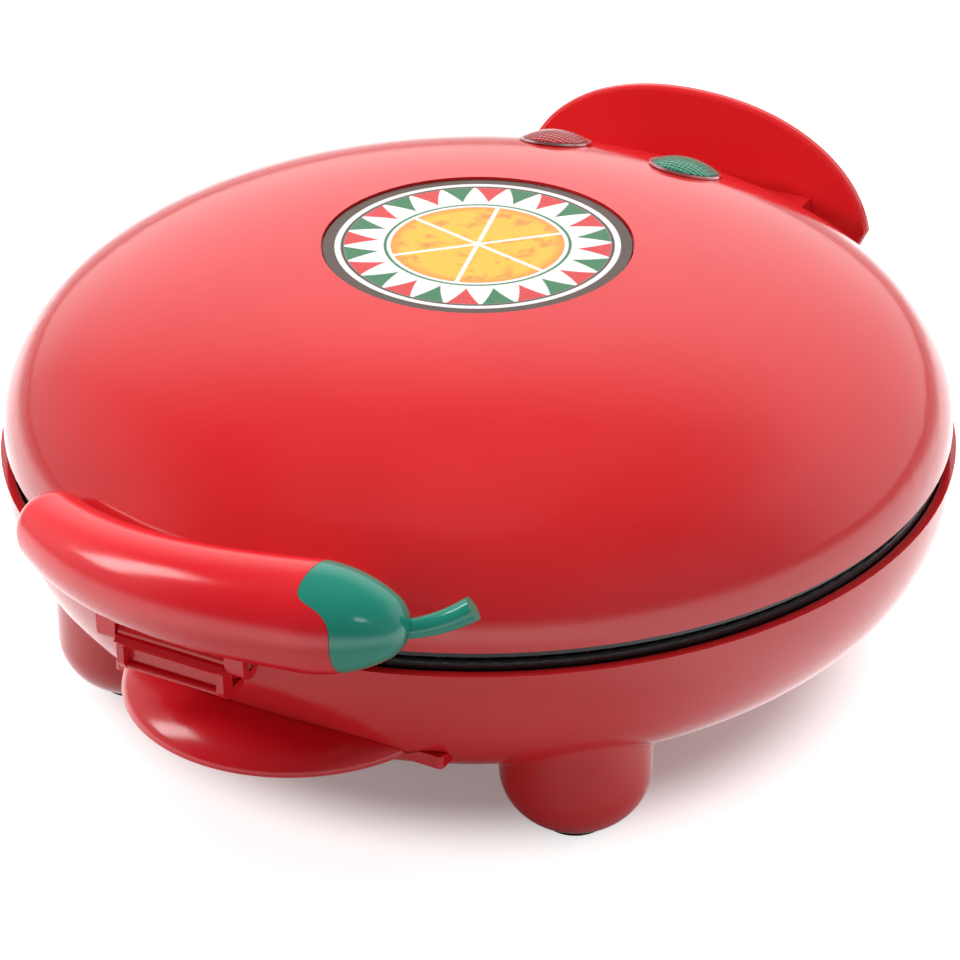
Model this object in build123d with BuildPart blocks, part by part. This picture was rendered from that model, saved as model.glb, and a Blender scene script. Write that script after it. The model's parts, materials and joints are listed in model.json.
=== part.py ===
from build123d import *

import os
from math import atan2, cos, degrees, pi, radians, sin, sqrt

os.makedirs("parts", exist_ok=True)

# Quesadilla maker, in millimetres. Everything is drawn round the bowl's axis, with the
# floor at z = 0, the handle at -Y and the hinge at +Y. The last section moves each piece
# so that the origin is under the middle of the whole object.

# ---- driving dimensions ---------------------------------------------------------------
# dome and bowl
lid_radius = 153.0
lid_edge_z = 83.9
dome_height = 58.4
dome_flatness = 2.55
dome_shoulder = 2.16
lid_wall = 3.0
rim_radius = 154.5
rim_z = 76.8
bowl_floor_z = 13.2
bowl_flat_radius = 59.5
bowl_roundness = 2.28
bowl_wall = 3.0
parting_z = 80.3
parting_gap = 0.6

# clearances
seat_gap = 0.15
slip_gap = 0.4
running_gap = 0.05

# bezels
lid_bezel_radius = 151.0
base_bezel_radius = 150.9
bezel_ledge_width = 3.0
lid_bezel_top_z = 88.0
base_bezel_seat_z = 70.0
bezel_seat_width = 6.0
bezel_edge_fillet = 0.8

# cooking plates
plate_radius = 144.2
plate_flange = 2.7
plate_pan_radius = 139.7
plate_depth = 9.0
plate_wall = 2.8
plate_back_inset = 1.6
pocket_radius = 136.6
pocket_count = 6
pocket_spacing = 6.0
pocket_corner = 7.0
pocket_draft = 10.0
pocket_fillet = 2.4
boss_radius = 4.5
boss_circle = 70.0
boss_count = 3
boss_start_angle = 30.0
screw_radius = 1.9
screw_head_radius = 3.6
screw_head_height = 2.4
screw_bite = 8.0

# heating parts
element_circle = 95.0
element_radius = 3.3
element_gap_angle = 26.0
element_bend = 8.0
element_tail = 5.0
channel_width = 2.0
channel_height = 4.2
reflector_wall = 0.8
reflector_depth = 10.5
lower_reflector_radius = 130.0
lower_reflector_rise = 6.0
upper_reflector_radius = 142.2
reflector_lip = 5.0
reflector_corner = 5.0

# legs and pads
leg_circle = 118.7
leg_angle = 43.1
leg_radius = 23.5
leg_nose = 20.0
leg_wall = 3.0
leg_fillet = 2.0
pad_radius = 10.0
pad_height = 3.0
pad_spigot_radius = 3.0

# rear stand
stand_half_width = 68.2
stand_rise = 48.1
stand_roundness = 2.12
stand_rear_y = 164.0
stand_thickness = 4.5
stand_corner_rise = 8.0
stand_corner_inset = 3.7
stand_edge_fillet = 1.5
stand_stop_z = 71.6
neck_half_width = 46.0
lid_neck_rise = 17.0
base_neck_drop = 26.0
neck_wall = 2.6
neck_cells = 4

# hinge
hinge_y = 157.5
knuckle_radius = 5.0
knuckle_length = 7.4
knuckle_inner_x = 26.0
hinge_pin_radius = 2.2
hinge_web_back = 1.4
hinge_gap = 0.5

# handle, shaped like a chili pepper
chili_points = [
    (-62.5, -147.6, 93.4),
    (-38.0, -159.2, 95.6),
    (-10.0, -165.2, 98.0),
    (17.0, -165.0, 99.9),
    (35.5, -162.6, 101.0),
]
chili_tip_radius = 12.0
chili_cap_radius = 16.4
chili_taper = 0.5
chili_cap_length = 29.5
chili_crown_end_radius = 11.0
cap_boundary_x = 49.0
cap_lobe_reach = 11.0
cap_lobe_foot_z = 102.5
cap_lobe_tip_z = 113.5
cap_room_length = 25.0
cap_gap = 0.15
stem_points = [(57.0, -157.0, 99.5), (69.5, -151.5, 102.3), (79.0, -146.6, 107.5)]
stem_start_radius = 2.6
stem_end_radius = 3.7
handle_screw_spread = 19.0
handle_screw_z = 95.0
handle_boss_radius = 5.6
handle_boss_y = -145.2

# latch under the handle
latch_x = -11.5
latch_length = 37.0
latch_pivot_y = -161.5
latch_pivot_z = 77.0
latch_barrel_radius = 3.4
latch_plate = 2.2
latch_foot_z = 65.0
latch_hook_reach = 6.2
latch_hook_height = 2.3
latch_ridge_z = 75.2
latch_ridge_reach = 4.0
latch_ridge_thickness = 3.0
latch_cheek = 2.4
latch_lip_radius = 1.1
latch_chamfer = 1.2
latch_pin_radius = 1.5
ear_thickness = 6.5
ear_radius = 4.2
ear_top_z = 92.0
catch_reach = 3.9
catch_height = 3.2
catch_slope = 2.2

# crescent grip on the front of the bowl, open below
grip_y = -114.9
grip_radius = 53.5
grip_foot_z = 42.0
grip_height = 16.0
grip_wall = 2.6
grip_back_y = -120.0
grip_bar_left = -53.7
grip_bar_right = 61.5
grip_bar_front_y = -134.6
grip_bar_foot_z = 40.0
grip_bar_height = 4.2
grip_bar_fillet = 1.4
grip_screw_spread = 20.0
grip_screw_z = 47.0
grip_screw_y = -138.0
grip_screw_length = 17.0
grip_boss_radius = 4.2

# badge and lamps
badge_radius = 49.3
badge_z = 140.1
badge_thickness = 1.0
badge_floor = 3.0
lamp_circle = 103.4
lamp_angle = 13.75
lens_radius = 11.3
lens_dome = 3.0
lens_edge = 1.0
lens_stem_radius = 9.6
lens_bore_radius = 7.4
lens_depth = 4.6
lens_rim_width = 1.0
lens_rim_height = 0.8
lamp_radius = 3.0
lamp_length = 9.0
lamp_top = -4.0
holder_drop = 16.0
holder_thickness = 3.0
holder_width = 13.0
holder_cup_radius = 5.4
holder_cup_height = 6.0
holder_post_radius = 4.0

# inside the bowl
post_radius = 6.0
post_web = 4.0
thermostat_radius = 12.0
thermostat_height = 6.0
thermostat_base_radius = 8.4
thermostat_base_height = 2.0
thermostat_tab_length = 6.0
thermostat_tab_width = 4.0
fuse_radius = 2.6
fuse_length = 18.0
fuse_x = 30.0
terminal_length = 42.0
terminal_width = 16.0
terminal_height = 13.0
terminal_y = 54.0
terminal_foot = 1.0
terminal_corner = 2.0
terminal_foot_inset = 4.0
terminal_ways = 4
terminal_hole_radius = 2.0
terminal_hole_depth = 5.0
gland_angle = 55.0
gland_z = 42.0
gland_radius = 5.6
gland_flange_radius = 8.4
gland_reach = 9.0
gland_seat = -0.8
gland_flange_thickness = 2.6
cord_hole_radius = 3.4
vent_width = 3.0
vent_length = 18.0
vent_circle = 36.0
vent_count = 12
lid_screw_circle = 147.4
lid_screw_radius = 1.4
lid_screw_head_radius = 2.2
lid_screw_head_height = 1.8
lid_boss_radius = 3.4
lid_boss_rise = 11.0

# ---- derived values -------------------------------------------------------------------
lower_plate_top = parting_z - parting_gap / 2
upper_plate_bottom = parting_z + parting_gap / 2
lower_back_z = lower_plate_top - plate_depth - plate_wall
upper_back_z = upper_plate_bottom + plate_depth + plate_wall
element_z = lower_back_z - element_radius - seat_gap
lower_reflector_z = lower_back_z - reflector_depth
upper_reflector_z = upper_back_z + reflector_depth
post_top_z = lower_reflector_z - reflector_wall - seat_gap
bezel_bore = plate_radius + 0.3
ledge_bore = plate_pan_radius + 1.8
leg_angles = [leg_angle, 180 - leg_angle, 180 + leg_angle, -leg_angle]
leg_spots = [
    (leg_circle * sin(radians(a)), -leg_circle * cos(radians(a))) for a in leg_angles
]
stand_front_y = stand_rear_y - stand_thickness
lid_screw_angles = [35, 145, 215, 325]
grip_screw_spots = [(side * grip_screw_spread, grip_screw_z) for side in (-1, 1)]
latch_ends = (latch_x - latch_length / 2, latch_x + latch_length / 2)
hook_top_z = latch_foot_z + latch_hook_height
catch_z = hook_top_z + 2 * slip_gap
mirror_plane = Plane.XY.offset(parting_z)


def dome_z(r, inset=0.0):
    """Height of the dome at radius r; inset gives the inner face of the wall."""
    radius, height = lid_radius - inset, dome_height - inset
    return lid_edge_z + height * (1 - (r / radius) ** dome_flatness) ** (1 / dome_shoulder)


def bowl_r(z, inset=0.0):
    """Radius of the bowl at height z; inset gives the inner face of the wall."""
    width = rim_radius - inset - bowl_flat_radius
    share = (rim_z - z) / (rim_z - bowl_floor_z - inset)
    return bowl_flat_radius + width * (1 - share**bowl_roundness) ** (1 / bowl_roundness)


def polar(radius, angle, z=0.0):
    """Point at an angle from +X, in degrees."""
    return (radius * cos(radians(angle)), radius * sin(radians(angle)), z)


def front_plane(y):
    """Upright plane that faces -Y: its x is +X and its y is +Z."""
    return Plane.XZ.offset(-y)


def side_plane(x):
    """Upright plane that faces +X: its x is +Y and its y is +Z."""
    return Plane.YZ.offset(x)


def dome_solid(inset=0.0, drop=0.0, count=9):
    """Solid inside the dome's face, with its foot lowered by drop."""
    radius = lid_radius - inset
    stations = [radius * sin(pi / 2 * i / (count - 1)) for i in range(count)]
    crown_points = [(r, dome_z(r, inset)) for r in stations]
    with BuildPart() as body:
        with BuildSketch(Plane.XZ):
            with BuildLine():
                Spline(*crown_points, tangents=[(1, 0), (0, -1)])
                if drop:
                    Line((radius, lid_edge_z), (radius, lid_edge_z - drop))
                Line((radius, lid_edge_z - drop), (0, lid_edge_z - drop))
                Line((0, lid_edge_z - drop), crown_points[0])
            make_face()
        revolve(axis=Axis.Z)
    return body.part


def bowl_solid(inset=0.0, head=0.0, count=9):
    """Solid inside the bowl's face, with its rim raised by head."""
    radius = rim_radius - inset
    width = radius - bowl_flat_radius
    height = rim_z - bowl_floor_z - inset
    power = 2 / bowl_roundness
    angles = [pi / 2 * i / (count - 1) for i in range(count)]
    wall_points = [
        (bowl_flat_radius + width * cos(a) ** power, rim_z - height * sin(a) ** power)
        for a in angles
    ]
    floor = wall_points[-1][1]
    with BuildPart() as body:
        with BuildSketch(Plane.XZ):
            with BuildLine():
                Spline(*wall_points, tangents=[(0, -1), (-1, 0)])
                Line(wall_points[-1], (0, floor))
                Line((0, floor), (0, rim_z + head))
                Line((0, rim_z + head), (radius, rim_z + head))
                if head:
                    Line((radius, rim_z + head), (radius, rim_z))
            make_face()
        revolve(axis=Axis.Z)
    return body.part


def leg_solid(inset=0.0, floor_z=pad_height, top_z=rim_z - 10):
    """One leg's outline, revolved: a round post whose foot is half an ellipsoid."""
    radius, nose = leg_radius - inset, leg_nose - inset
    start = degrees(atan2(-(leg_nose - floor_z) / nose, sqrt(1 - ((leg_nose - floor_z) / nose) ** 2)))
    flat = radius * cos(radians(start))
    with BuildPart() as leg:
        with BuildSketch(Plane.XZ):
            with BuildLine():
                Line((0, floor_z), (flat, floor_z))
                foot_points = [
                    (radius * cos(radians(start * s)), leg_nose + nose * sin(radians(start * s)))
                    for s in (1, 0.75, 0.5, 0.25, 0)
                ]
                Spline(*foot_points)
                Line(foot_points[-1], (radius, top_z))
                Line((radius, top_z), (0, top_z))
                Line((0, top_z), (0, floor_z))
            make_face()
        revolve(axis=Axis.Z)
    return leg.part


def revolved_ring(points):
    """Ring round the bowl's axis with the outline given as (radius, z) points."""
    with BuildPart() as made:
        with BuildSketch(Plane.XZ):
            with BuildLine():
                Polyline(*points, close=True)
            make_face()
        revolve(axis=Axis.Z)
    return made.part


def tube_along(path, radii):
    """Smooth round body round a curve, through circles evenly spaced along it."""
    with BuildPart() as tube:
        for i, radius in enumerate(radii):
            share = i / (len(radii) - 1)
            with BuildSketch(Plane(origin=path @ share, x_dir=(0, 0, 1), z_dir=path % share)):
                Circle(radius)
        loft()
    return tube.part


def stand_outline(up, low_z):
    """Face of half of the rear stand: up is 1 for the lid's half and -1 for the bowl's."""
    foot_z = parting_z + up * (lid_edge_z - parting_z)
    power = 2 / stand_roundness
    start = (stand_corner_rise / stand_rise) ** (1 / power)
    first = degrees(atan2(start, sqrt(1 - start**2)))
    count = 11
    arc_points = []
    for i in range(count):
        turn = radians(first + (180 - 2 * first) * i / (count - 1))
        x = stand_half_width * abs(cos(turn)) ** power * (1 if cos(turn) > 0 else -1)
        arc_points.append((x, foot_z + up * stand_rise * sin(turn) ** power))
    corner_x = arc_points[0][0]
    corner_z = arc_points[0][1]
    low_x = corner_x - stand_corner_inset * abs(low_z - corner_z) / stand_corner_rise
    with BuildSketch(front_plane(stand_rear_y)) as face:
        with BuildLine():
            Spline(*arc_points)
            Polyline(arc_points[-1], (-low_x, low_z), (low_x, low_z), arc_points[0])
        make_face()
    return face.sketch


# ---- lid ------------------------------------------------------------------------------
dome_outer = dome_solid()
dome_inner = dome_solid(inset=lid_wall)
bowl_outer = bowl_solid()
bowl_inner = bowl_solid(inset=bowl_wall, head=20)
lamp_slope = degrees(atan2(dome_z(lamp_circle - 1) - dome_z(lamp_circle + 1), 2))


def dome_plane(angle):
    """Plane on the dome at the lamps' circle, square to its face."""
    lean = radians(lamp_slope)
    outward = Vector(*polar(1, angle))
    normal = outward * sin(lean) + Vector(0, 0, cos(lean))
    return Plane(
        origin=polar(lamp_circle, angle, dome_z(lamp_circle)),
        x_dir=polar(1, angle - 90),
        z_dir=normal,
    )


red_lamp_plane = dome_plane(90 + lamp_angle)
green_lamp_plane = dome_plane(90 - lamp_angle)
holder_plane = dome_plane(90)
lens_seat_radius = lens_radius + lens_rim_width + 2 * seat_gap

lid_outline = stand_outline(1, lid_edge_z)
base_outline = stand_outline(-1, stand_stop_z)
cell_width = (2 * neck_half_width - neck_wall * (neck_cells + 1)) / neck_cells
cell_pitch = cell_width + neck_wall
cell_depth = stand_front_y - lid_radius - 2 * neck_wall + 1
cell_y = stand_front_y - neck_wall + 1 - cell_depth / 2
knuckle_pitch = knuckle_length + hinge_gap
base_knuckle_x = knuckle_inner_x + knuckle_length / 2
lid_knuckle_x = base_knuckle_x + knuckle_pitch

with BuildPart() as lid_fixings:
    # screw bosses for the bezel, flats for the handle screws and the lamp holder's post
    boss_low = lid_bezel_top_z + reflector_wall + 3 * seat_gap
    with BuildSketch(Plane.XY.offset(boss_low)):
        with Locations(*[polar(lid_screw_circle, a)[:2] for a in lid_screw_angles]):
            Circle(lid_boss_radius)
    extrude(amount=lid_boss_rise)
    with BuildSketch(front_plane(handle_boss_y)):
        with Locations((-handle_screw_spread, handle_screw_z), (handle_screw_spread, handle_screw_z)):
            Circle(handle_boss_radius)
    extrude(amount=10)
    with BuildSketch(holder_plane.offset(-holder_drop + seat_gap)):
        Circle(holder_post_radius)
    extrude(amount=holder_drop)
    add(dome_solid(inset=lid_wall / 2), mode=Mode.INTERSECT)

with BuildPart() as lid_shell:
    add(dome_outer)
    # rear stand and its neck
    extrude(lid_outline, amount=stand_thickness)
    fillet(
        edges().filter_by(lambda e: e.center().Y > stand_front_y - 1 and e.center().Z > lid_edge_z + 1),
        stand_edge_fillet,
    )
    with BuildSketch(Plane.XY.offset(lid_edge_z)):
        with Locations((0, stand_front_y - 20)):
            Rectangle(2 * neck_half_width, 41)
    extrude(amount=lid_neck_rise)
    # knuckles and the webs that carry them
    for side in (-1, 1):
        with BuildSketch(side_plane(side * lid_knuckle_x - knuckle_length / 2)):
            with Locations((hinge_y, parting_z)):
                Circle(knuckle_radius)
            with Locations((hinge_y, (parting_z + lid_edge_z) / 2 + 1)):
                Rectangle(2 * knuckle_radius, lid_edge_z - parting_z + 2)
        extrude(amount=knuckle_length)
    # cells in the neck, open below
    with BuildSketch(Plane.XY.offset(lid_edge_z)):
        with Locations((0, cell_y)):
            with GridLocations(cell_pitch, 0, neck_cells, 1):
                Rectangle(cell_width, cell_depth)
    extrude(amount=lid_neck_rise - neck_wall, mode=Mode.SUBTRACT)
    # room for the base's knuckles
    for side in (-1, 1):
        with BuildSketch(side_plane(side * base_knuckle_x - knuckle_length / 2 - hinge_gap)):
            with Locations((hinge_y, parting_z)):
                Circle(knuckle_radius + slip_gap)
        extrude(amount=knuckle_length + 2 * hinge_gap, mode=Mode.SUBTRACT)
        with BuildSketch(side_plane(side * lid_knuckle_x - knuckle_length)):
            with Locations((hinge_y, parting_z)):
                Circle(hinge_pin_radius + running_gap)
        extrude(amount=2 * knuckle_length, mode=Mode.SUBTRACT)
    # hollow of the dome, left thick under the badge
    add(dome_inner, mode=Mode.SUBTRACT)
    with BuildSketch(Plane.XY.offset(badge_z - badge_thickness - badge_floor)):
        Circle(badge_radius + 8)
    extrude(amount=badge_floor)
    add(lid_fixings.part)
    # recess for the badge
    with BuildSketch(Plane.XY.offset(badge_z - badge_thickness - seat_gap)):
        Circle(badge_radius + slip_gap)
    extrude(amount=10, mode=Mode.SUBTRACT)
    # seats and openings for the two lamps
    for place in (red_lamp_plane, green_lamp_plane):
        with BuildSketch(place.offset(-seat_gap)):
            Circle(lens_seat_radius)
        extrude(amount=10, mode=Mode.SUBTRACT)
        with BuildSketch(place):
            Circle(lens_stem_radius + seat_gap)
        extrude(amount=-3 * lid_wall, mode=Mode.SUBTRACT)
    # screw holes
    with BuildSketch(Plane.XY.offset(boss_low)):
        with Locations(*[polar(lid_screw_circle, a)[:2] for a in lid_screw_angles]):
            Circle(lid_screw_radius + seat_gap)
    extrude(amount=lid_boss_rise - 2, mode=Mode.SUBTRACT)
    with BuildSketch(front_plane(handle_boss_y)):
        with Locations((-handle_screw_spread, handle_screw_z), (handle_screw_spread, handle_screw_z)):
            Circle(screw_radius + seat_gap)
    extrude(amount=20, mode=Mode.SUBTRACT)

lid_bezel_points = [
    (bezel_bore, upper_plate_bottom),
    (lid_bezel_radius, upper_plate_bottom),
    (lid_bezel_radius, lid_edge_z - seat_gap),
    (lid_radius - lid_wall - 2 * seat_gap, lid_edge_z - seat_gap),
    (lid_radius - lid_wall - 2 * seat_gap, lid_bezel_top_z),
    (ledge_bore, lid_bezel_top_z),
    (ledge_bore, upper_plate_bottom + plate_flange + seat_gap),
    (bezel_bore, upper_plate_bottom + plate_flange + seat_gap),
]
with BuildPart() as lid_bezel:
    add(revolved_ring(lid_bezel_points))
    fillet(edges().filter_by(GeomType.CIRCLE).group_by(Axis.Z)[0], bezel_edge_fillet)
    # counterbored screw holes
    with BuildSketch(Plane.XY.offset(upper_plate_bottom)):
        with Locations(*[polar(lid_screw_circle, a)[:2] for a in lid_screw_angles]):
            Circle(lid_screw_head_radius + seat_gap)
    extrude(amount=lid_screw_head_height + seat_gap, mode=Mode.SUBTRACT)
    with BuildSketch(Plane.XY.offset(upper_plate_bottom)):
        with Locations(*[polar(lid_screw_circle, a)[:2] for a in lid_screw_angles]):
            Circle(lid_screw_radius + seat_gap)
    extrude(amount=20, mode=Mode.SUBTRACT)

# screws through the bezel, and through the lip of the reflector, into the lid's bosses
with BuildPart() as lid_screws:
    head_z = upper_plate_bottom + seat_gap
    with Locations(*[polar(lid_screw_circle, a)[:2] for a in lid_screw_angles]):
        with Locations((0, 0, head_z)):
            Cylinder(
                lid_screw_head_radius,
                lid_screw_head_height - seat_gap,
                align=(Align.CENTER, Align.CENTER, Align.MIN),
            )
            Cylinder(
                lid_screw_radius,
                boss_low + lid_boss_rise - 3 - head_z,
                align=(Align.CENTER, Align.CENTER, Align.MIN),
            )

with BuildPart() as badge_disc:
    with BuildSketch(Plane.XY.offset(badge_z - badge_thickness)):
        Circle(badge_radius)
    extrude(amount=badge_thickness)
    fillet(edges().group_by(Axis.Z)[-1], badge_thickness / 3)


# ---- lamps ----------------------------------------------------------------------------
def lens_at(place):
    """Domed lens with a hollow stem through the lid."""
    dome_radius = (lens_radius**2 + lens_dome**2) / (2 * lens_dome)
    with BuildPart() as dome:
        with Locations(place.offset(lens_edge + lens_dome - dome_radius)):
            Sphere(dome_radius)
    with BuildPart() as lens:
        with BuildSketch(place):
            Circle(lens_radius)
        extrude(amount=lens_edge + lens_dome)
        add(dome.part, mode=Mode.INTERSECT)
        with BuildSketch(place):
            Circle(lens_stem_radius)
        extrude(amount=-lens_depth)
        with BuildSketch(place.offset(-lens_depth)):
            Circle(lens_bore_radius)
        extrude(amount=lens_depth - 1, mode=Mode.SUBTRACT)
    return lens.part


def rim_at(place):
    """Thin rim round a lens."""
    with BuildPart() as rim:
        with BuildSketch(place):
            Circle(lens_radius + seat_gap + lens_rim_width)
            Circle(lens_radius + seat_gap, mode=Mode.SUBTRACT)
        extrude(amount=lens_rim_height)
    return rim.part


with BuildPart() as red_lens:
    add(lens_at(red_lamp_plane))

with BuildPart() as green_lens:
    add(lens_at(green_lamp_plane))

with BuildPart() as lens_rims:
    add(rim_at(red_lamp_plane))
    add(rim_at(green_lamp_plane))

with BuildPart() as indicator_lamps:
    for place in (red_lamp_plane, green_lamp_plane):
        with BuildSketch(place.offset(lamp_top)):
            Circle(lamp_radius)
        extrude(amount=-lamp_length)
        fillet(edges(Select.LAST).group_by(Axis.Z)[-1], lamp_radius / 2)

with BuildPart() as lamp_holder:
    holder_length = 2 * lamp_circle * sin(radians(lamp_angle)) + holder_width
    with BuildSketch(holder_plane.offset(-holder_drop)):
        RectangleRounded(holder_length, holder_width, 3)
    extrude(amount=-holder_thickness)
    for place in (red_lamp_plane, green_lamp_plane):
        with BuildSketch(place.offset(-holder_drop)):
            Circle(holder_cup_radius)
        extrude(amount=holder_cup_height)
        with BuildSketch(place.offset(-holder_drop)):
            Circle(lamp_radius + seat_gap)
        extrude(amount=holder_cup_height + 1, mode=Mode.SUBTRACT)


# ---- handle ---------------------------------------------------------------------------
def chili_radius(share):
    """The pepper thickens from its tip to its cap."""
    swell = chili_cap_radius - chili_tip_radius
    return chili_tip_radius + swell * (1 + chili_taper * (1 - share)) * share


chili_line = Spline(*chili_points)
stem_line = Spline(*stem_points)
chili_section_count = 6
chili_section_radii = [chili_radius(i / (chili_section_count - 1)) for i in range(chili_section_count)]
tip_plane = Plane(origin=chili_line @ 0, x_dir=(0, 0, 1), z_dir=chili_line % 0)
crown_plane = Plane(origin=chili_line @ 1, x_dir=(0, 0, 1), z_dir=chili_line % 1)

with BuildPart() as chili_tip:
    with Locations(tip_plane):
        Sphere(chili_tip_radius)

with BuildPart() as chili_crown:
    # long side arc and small end arc, tangent where they meet, turned round the line's end
    end_center = chili_cap_length - chili_crown_end_radius
    side_radius = (end_center**2 + chili_cap_radius**2 - chili_crown_end_radius**2) / (
        2 * (chili_cap_radius - chili_crown_end_radius)
    )
    side_center = chili_cap_radius - side_radius
    side_turn = atan2(end_center, -side_center)
    end_turn = (side_turn + pi / 2) / 2
    arcs_meet = (
        side_center + side_radius * cos(side_turn),
        side_radius * sin(side_turn),
    )
    with BuildSketch(Plane.XZ):
        with BuildLine():
            Line((0, 0), (chili_cap_radius, 0))
            ThreePointArc(
                (chili_cap_radius, 0),
                (side_center + side_radius * cos(side_turn / 2), side_radius * sin(side_turn / 2)),
                arcs_meet,
            )
            ThreePointArc(
                arcs_meet,
                (
                    chili_crown_end_radius * cos(end_turn),
                    end_center + chili_crown_end_radius * sin(end_turn),
                ),
                (0, chili_cap_length),
            )
            Line((0, chili_cap_length), (0, 0))
        make_face()
    revolve(axis=Axis.Z)

with BuildPart() as chili_body:
    add(tube_along(chili_line, chili_section_radii))
    add(chili_tip.part)
    add(crown_plane.location * chili_crown.part)

stem_body = tube_along(
    stem_line, [stem_start_radius, (stem_start_radius + stem_end_radius) / 2, stem_end_radius]
)
lid_room = dome_solid(inset=-seat_gap, drop=20)

with BuildPart() as cap_room:
    # everything beyond the edge of the green cap, which has one broad lobe along its top
    with BuildSketch(front_plane(-lid_radius)):
        with BuildLine():
            lobe_tip_x = cap_boundary_x - cap_lobe_reach
            cap_foot_z = chili_points[-1][2] - 2 * chili_cap_radius
            cap_head_z = chili_points[-1][2] + 2 * chili_cap_radius
            far_x = cap_boundary_x + chili_cap_radius + cap_room_length
            Polyline(
                (cap_boundary_x, cap_lobe_foot_z),
                (cap_boundary_x, cap_foot_z),
                (far_x, cap_foot_z),
                (far_x, cap_head_z),
                (cap_boundary_x, cap_head_z),
            )
            Spline(
                (cap_boundary_x, cap_head_z),
                (lobe_tip_x, cap_lobe_tip_z),
                (cap_boundary_x, cap_lobe_foot_z),
                tangents=[(-1, -1), (0, -1)],
            )
        make_face()
    extrude(amount=lid_radius / 3, both=True)

with BuildPart() as chili_handle:
    add(chili_body.part)
    # ears that carry the latch's pin
    for x in (latch_ends[0] - slip_gap - ear_thickness, latch_ends[1] + slip_gap):
        with BuildSketch(side_plane(x)):
            with Locations((latch_pivot_y, latch_pivot_z)):
                Circle(ear_radius)
            with Locations((latch_pivot_y, (latch_pivot_z + ear_top_z) / 2)):
                Rectangle(2 * ear_radius, ear_top_z - latch_pivot_z)
        extrude(amount=ear_thickness)
    with BuildSketch(side_plane(latch_ends[0] - 2 * ear_thickness)):
        with Locations((latch_pivot_y, latch_pivot_z)):
            Circle(latch_pin_radius + running_gap)
    extrude(amount=latch_length + 4 * ear_thickness, mode=Mode.SUBTRACT)
    # room above the latch's barrel
    with BuildSketch(side_plane(latch_ends[0] - slip_gap)):
        with Locations((latch_pivot_y, latch_pivot_z)):
            Circle(latch_barrel_radius + 2 * slip_gap)
    extrude(amount=latch_length + 2 * slip_gap, mode=Mode.SUBTRACT)
    add(lid_room, mode=Mode.SUBTRACT)
    add(cap_room.part, mode=Mode.SUBTRACT)
    with BuildSketch(front_plane(handle_boss_y)):
        with Locations((-handle_screw_spread, handle_screw_z), (handle_screw_spread, handle_screw_z)):
            Circle(screw_radius + seat_gap)
    extrude(amount=20, mode=Mode.SUBTRACT)

with BuildPart() as chili_cap:
    add(chili_body.part)
    add(cap_room.part.moved(Location((cap_gap, 0, 0))), mode=Mode.INTERSECT)
    add(lid_room, mode=Mode.SUBTRACT)
    add(stem_body)

with BuildPart() as handle_screws:
    for x in (-handle_screw_spread, handle_screw_spread):
        with BuildSketch(front_plane(handle_boss_y + seat_gap)):
            with Locations((x, handle_screw_z)):
                Circle(screw_head_radius)
        extrude(amount=-screw_head_height)
        with BuildSketch(front_plane(handle_boss_y + seat_gap)):
            with Locations((x, handle_screw_z)):
                Circle(screw_radius)
        extrude(amount=19)

# ---- latch ----------------------------------------------------------------------------
with BuildPart() as latch_pin:
    with BuildSketch(side_plane(latch_ends[0] - ear_thickness)):
        with Locations((latch_pivot_y, latch_pivot_z)):
            Circle(latch_pin_radius)
    extrude(amount=latch_length + 2 * ear_thickness)

latch_front_y = latch_pivot_y - latch_barrel_radius / 2
ridge_y = latch_front_y - latch_ridge_reach
half_ridge = latch_ridge_thickness / 2
with BuildPart() as latch:
    with BuildSketch(side_plane(latch_ends[0])):
        with Locations((latch_pivot_y, latch_pivot_z)):
            Circle(latch_barrel_radius)
        with BuildLine():
            plate_back = latch_front_y + latch_plate
            Polyline(
                (latch_front_y, latch_pivot_z),
                (latch_front_y, latch_foot_z),
                (plate_back + latch_hook_reach - latch_chamfer, latch_foot_z),
                (plate_back + latch_hook_reach, latch_foot_z + latch_chamfer),
                (plate_back + latch_hook_reach, hook_top_z),
                (plate_back, hook_top_z),
                (plate_back, latch_pivot_z),
                close=True,
            )
        make_face()
    extrude(amount=latch_length)
    # finger ridge along the front
    with BuildSketch(side_plane(latch_ends[0])):
        with BuildLine():
            Polyline(
                (latch_front_y + latch_plate / 2, latch_ridge_z + 2 * half_ridge),
                (ridge_y + latch_chamfer, latch_ridge_z + half_ridge),
                (ridge_y, latch_ridge_z),
                (ridge_y + latch_chamfer, latch_ridge_z - half_ridge),
                (latch_front_y + latch_plate / 2, latch_ridge_z - half_ridge),
                close=True,
            )
        make_face()
    extrude(amount=latch_length)
    # cheeks at both ends and a lip along the foot
    for x in (latch_ends[0], latch_ends[1] - latch_cheek):
        with BuildSketch(side_plane(x)):
            with BuildLine():
                Polyline(
                    (latch_front_y + latch_plate / 2, latch_ridge_z),
                    (ridge_y + latch_chamfer, latch_ridge_z),
                    (ridge_y + latch_chamfer, latch_foot_z + latch_cheek),
                    (latch_front_y - latch_chamfer, latch_foot_z),
                    (latch_front_y + latch_plate / 2, latch_foot_z),
                    close=True,
                )
            make_face()
        extrude(amount=latch_cheek)
    with BuildSketch(side_plane(latch_ends[0])):
        with Locations((latch_front_y - latch_lip_radius / 2, latch_foot_z + latch_lip_radius)):
            Circle(latch_lip_radius)
    extrude(amount=latch_length)
    with BuildSketch(side_plane(latch_ends[0] - 1)):
        with Locations((latch_pivot_y, latch_pivot_z)):
            Circle(latch_pin_radius + running_gap)
    extrude(amount=latch_length + 2, mode=Mode.SUBTRACT)


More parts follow.
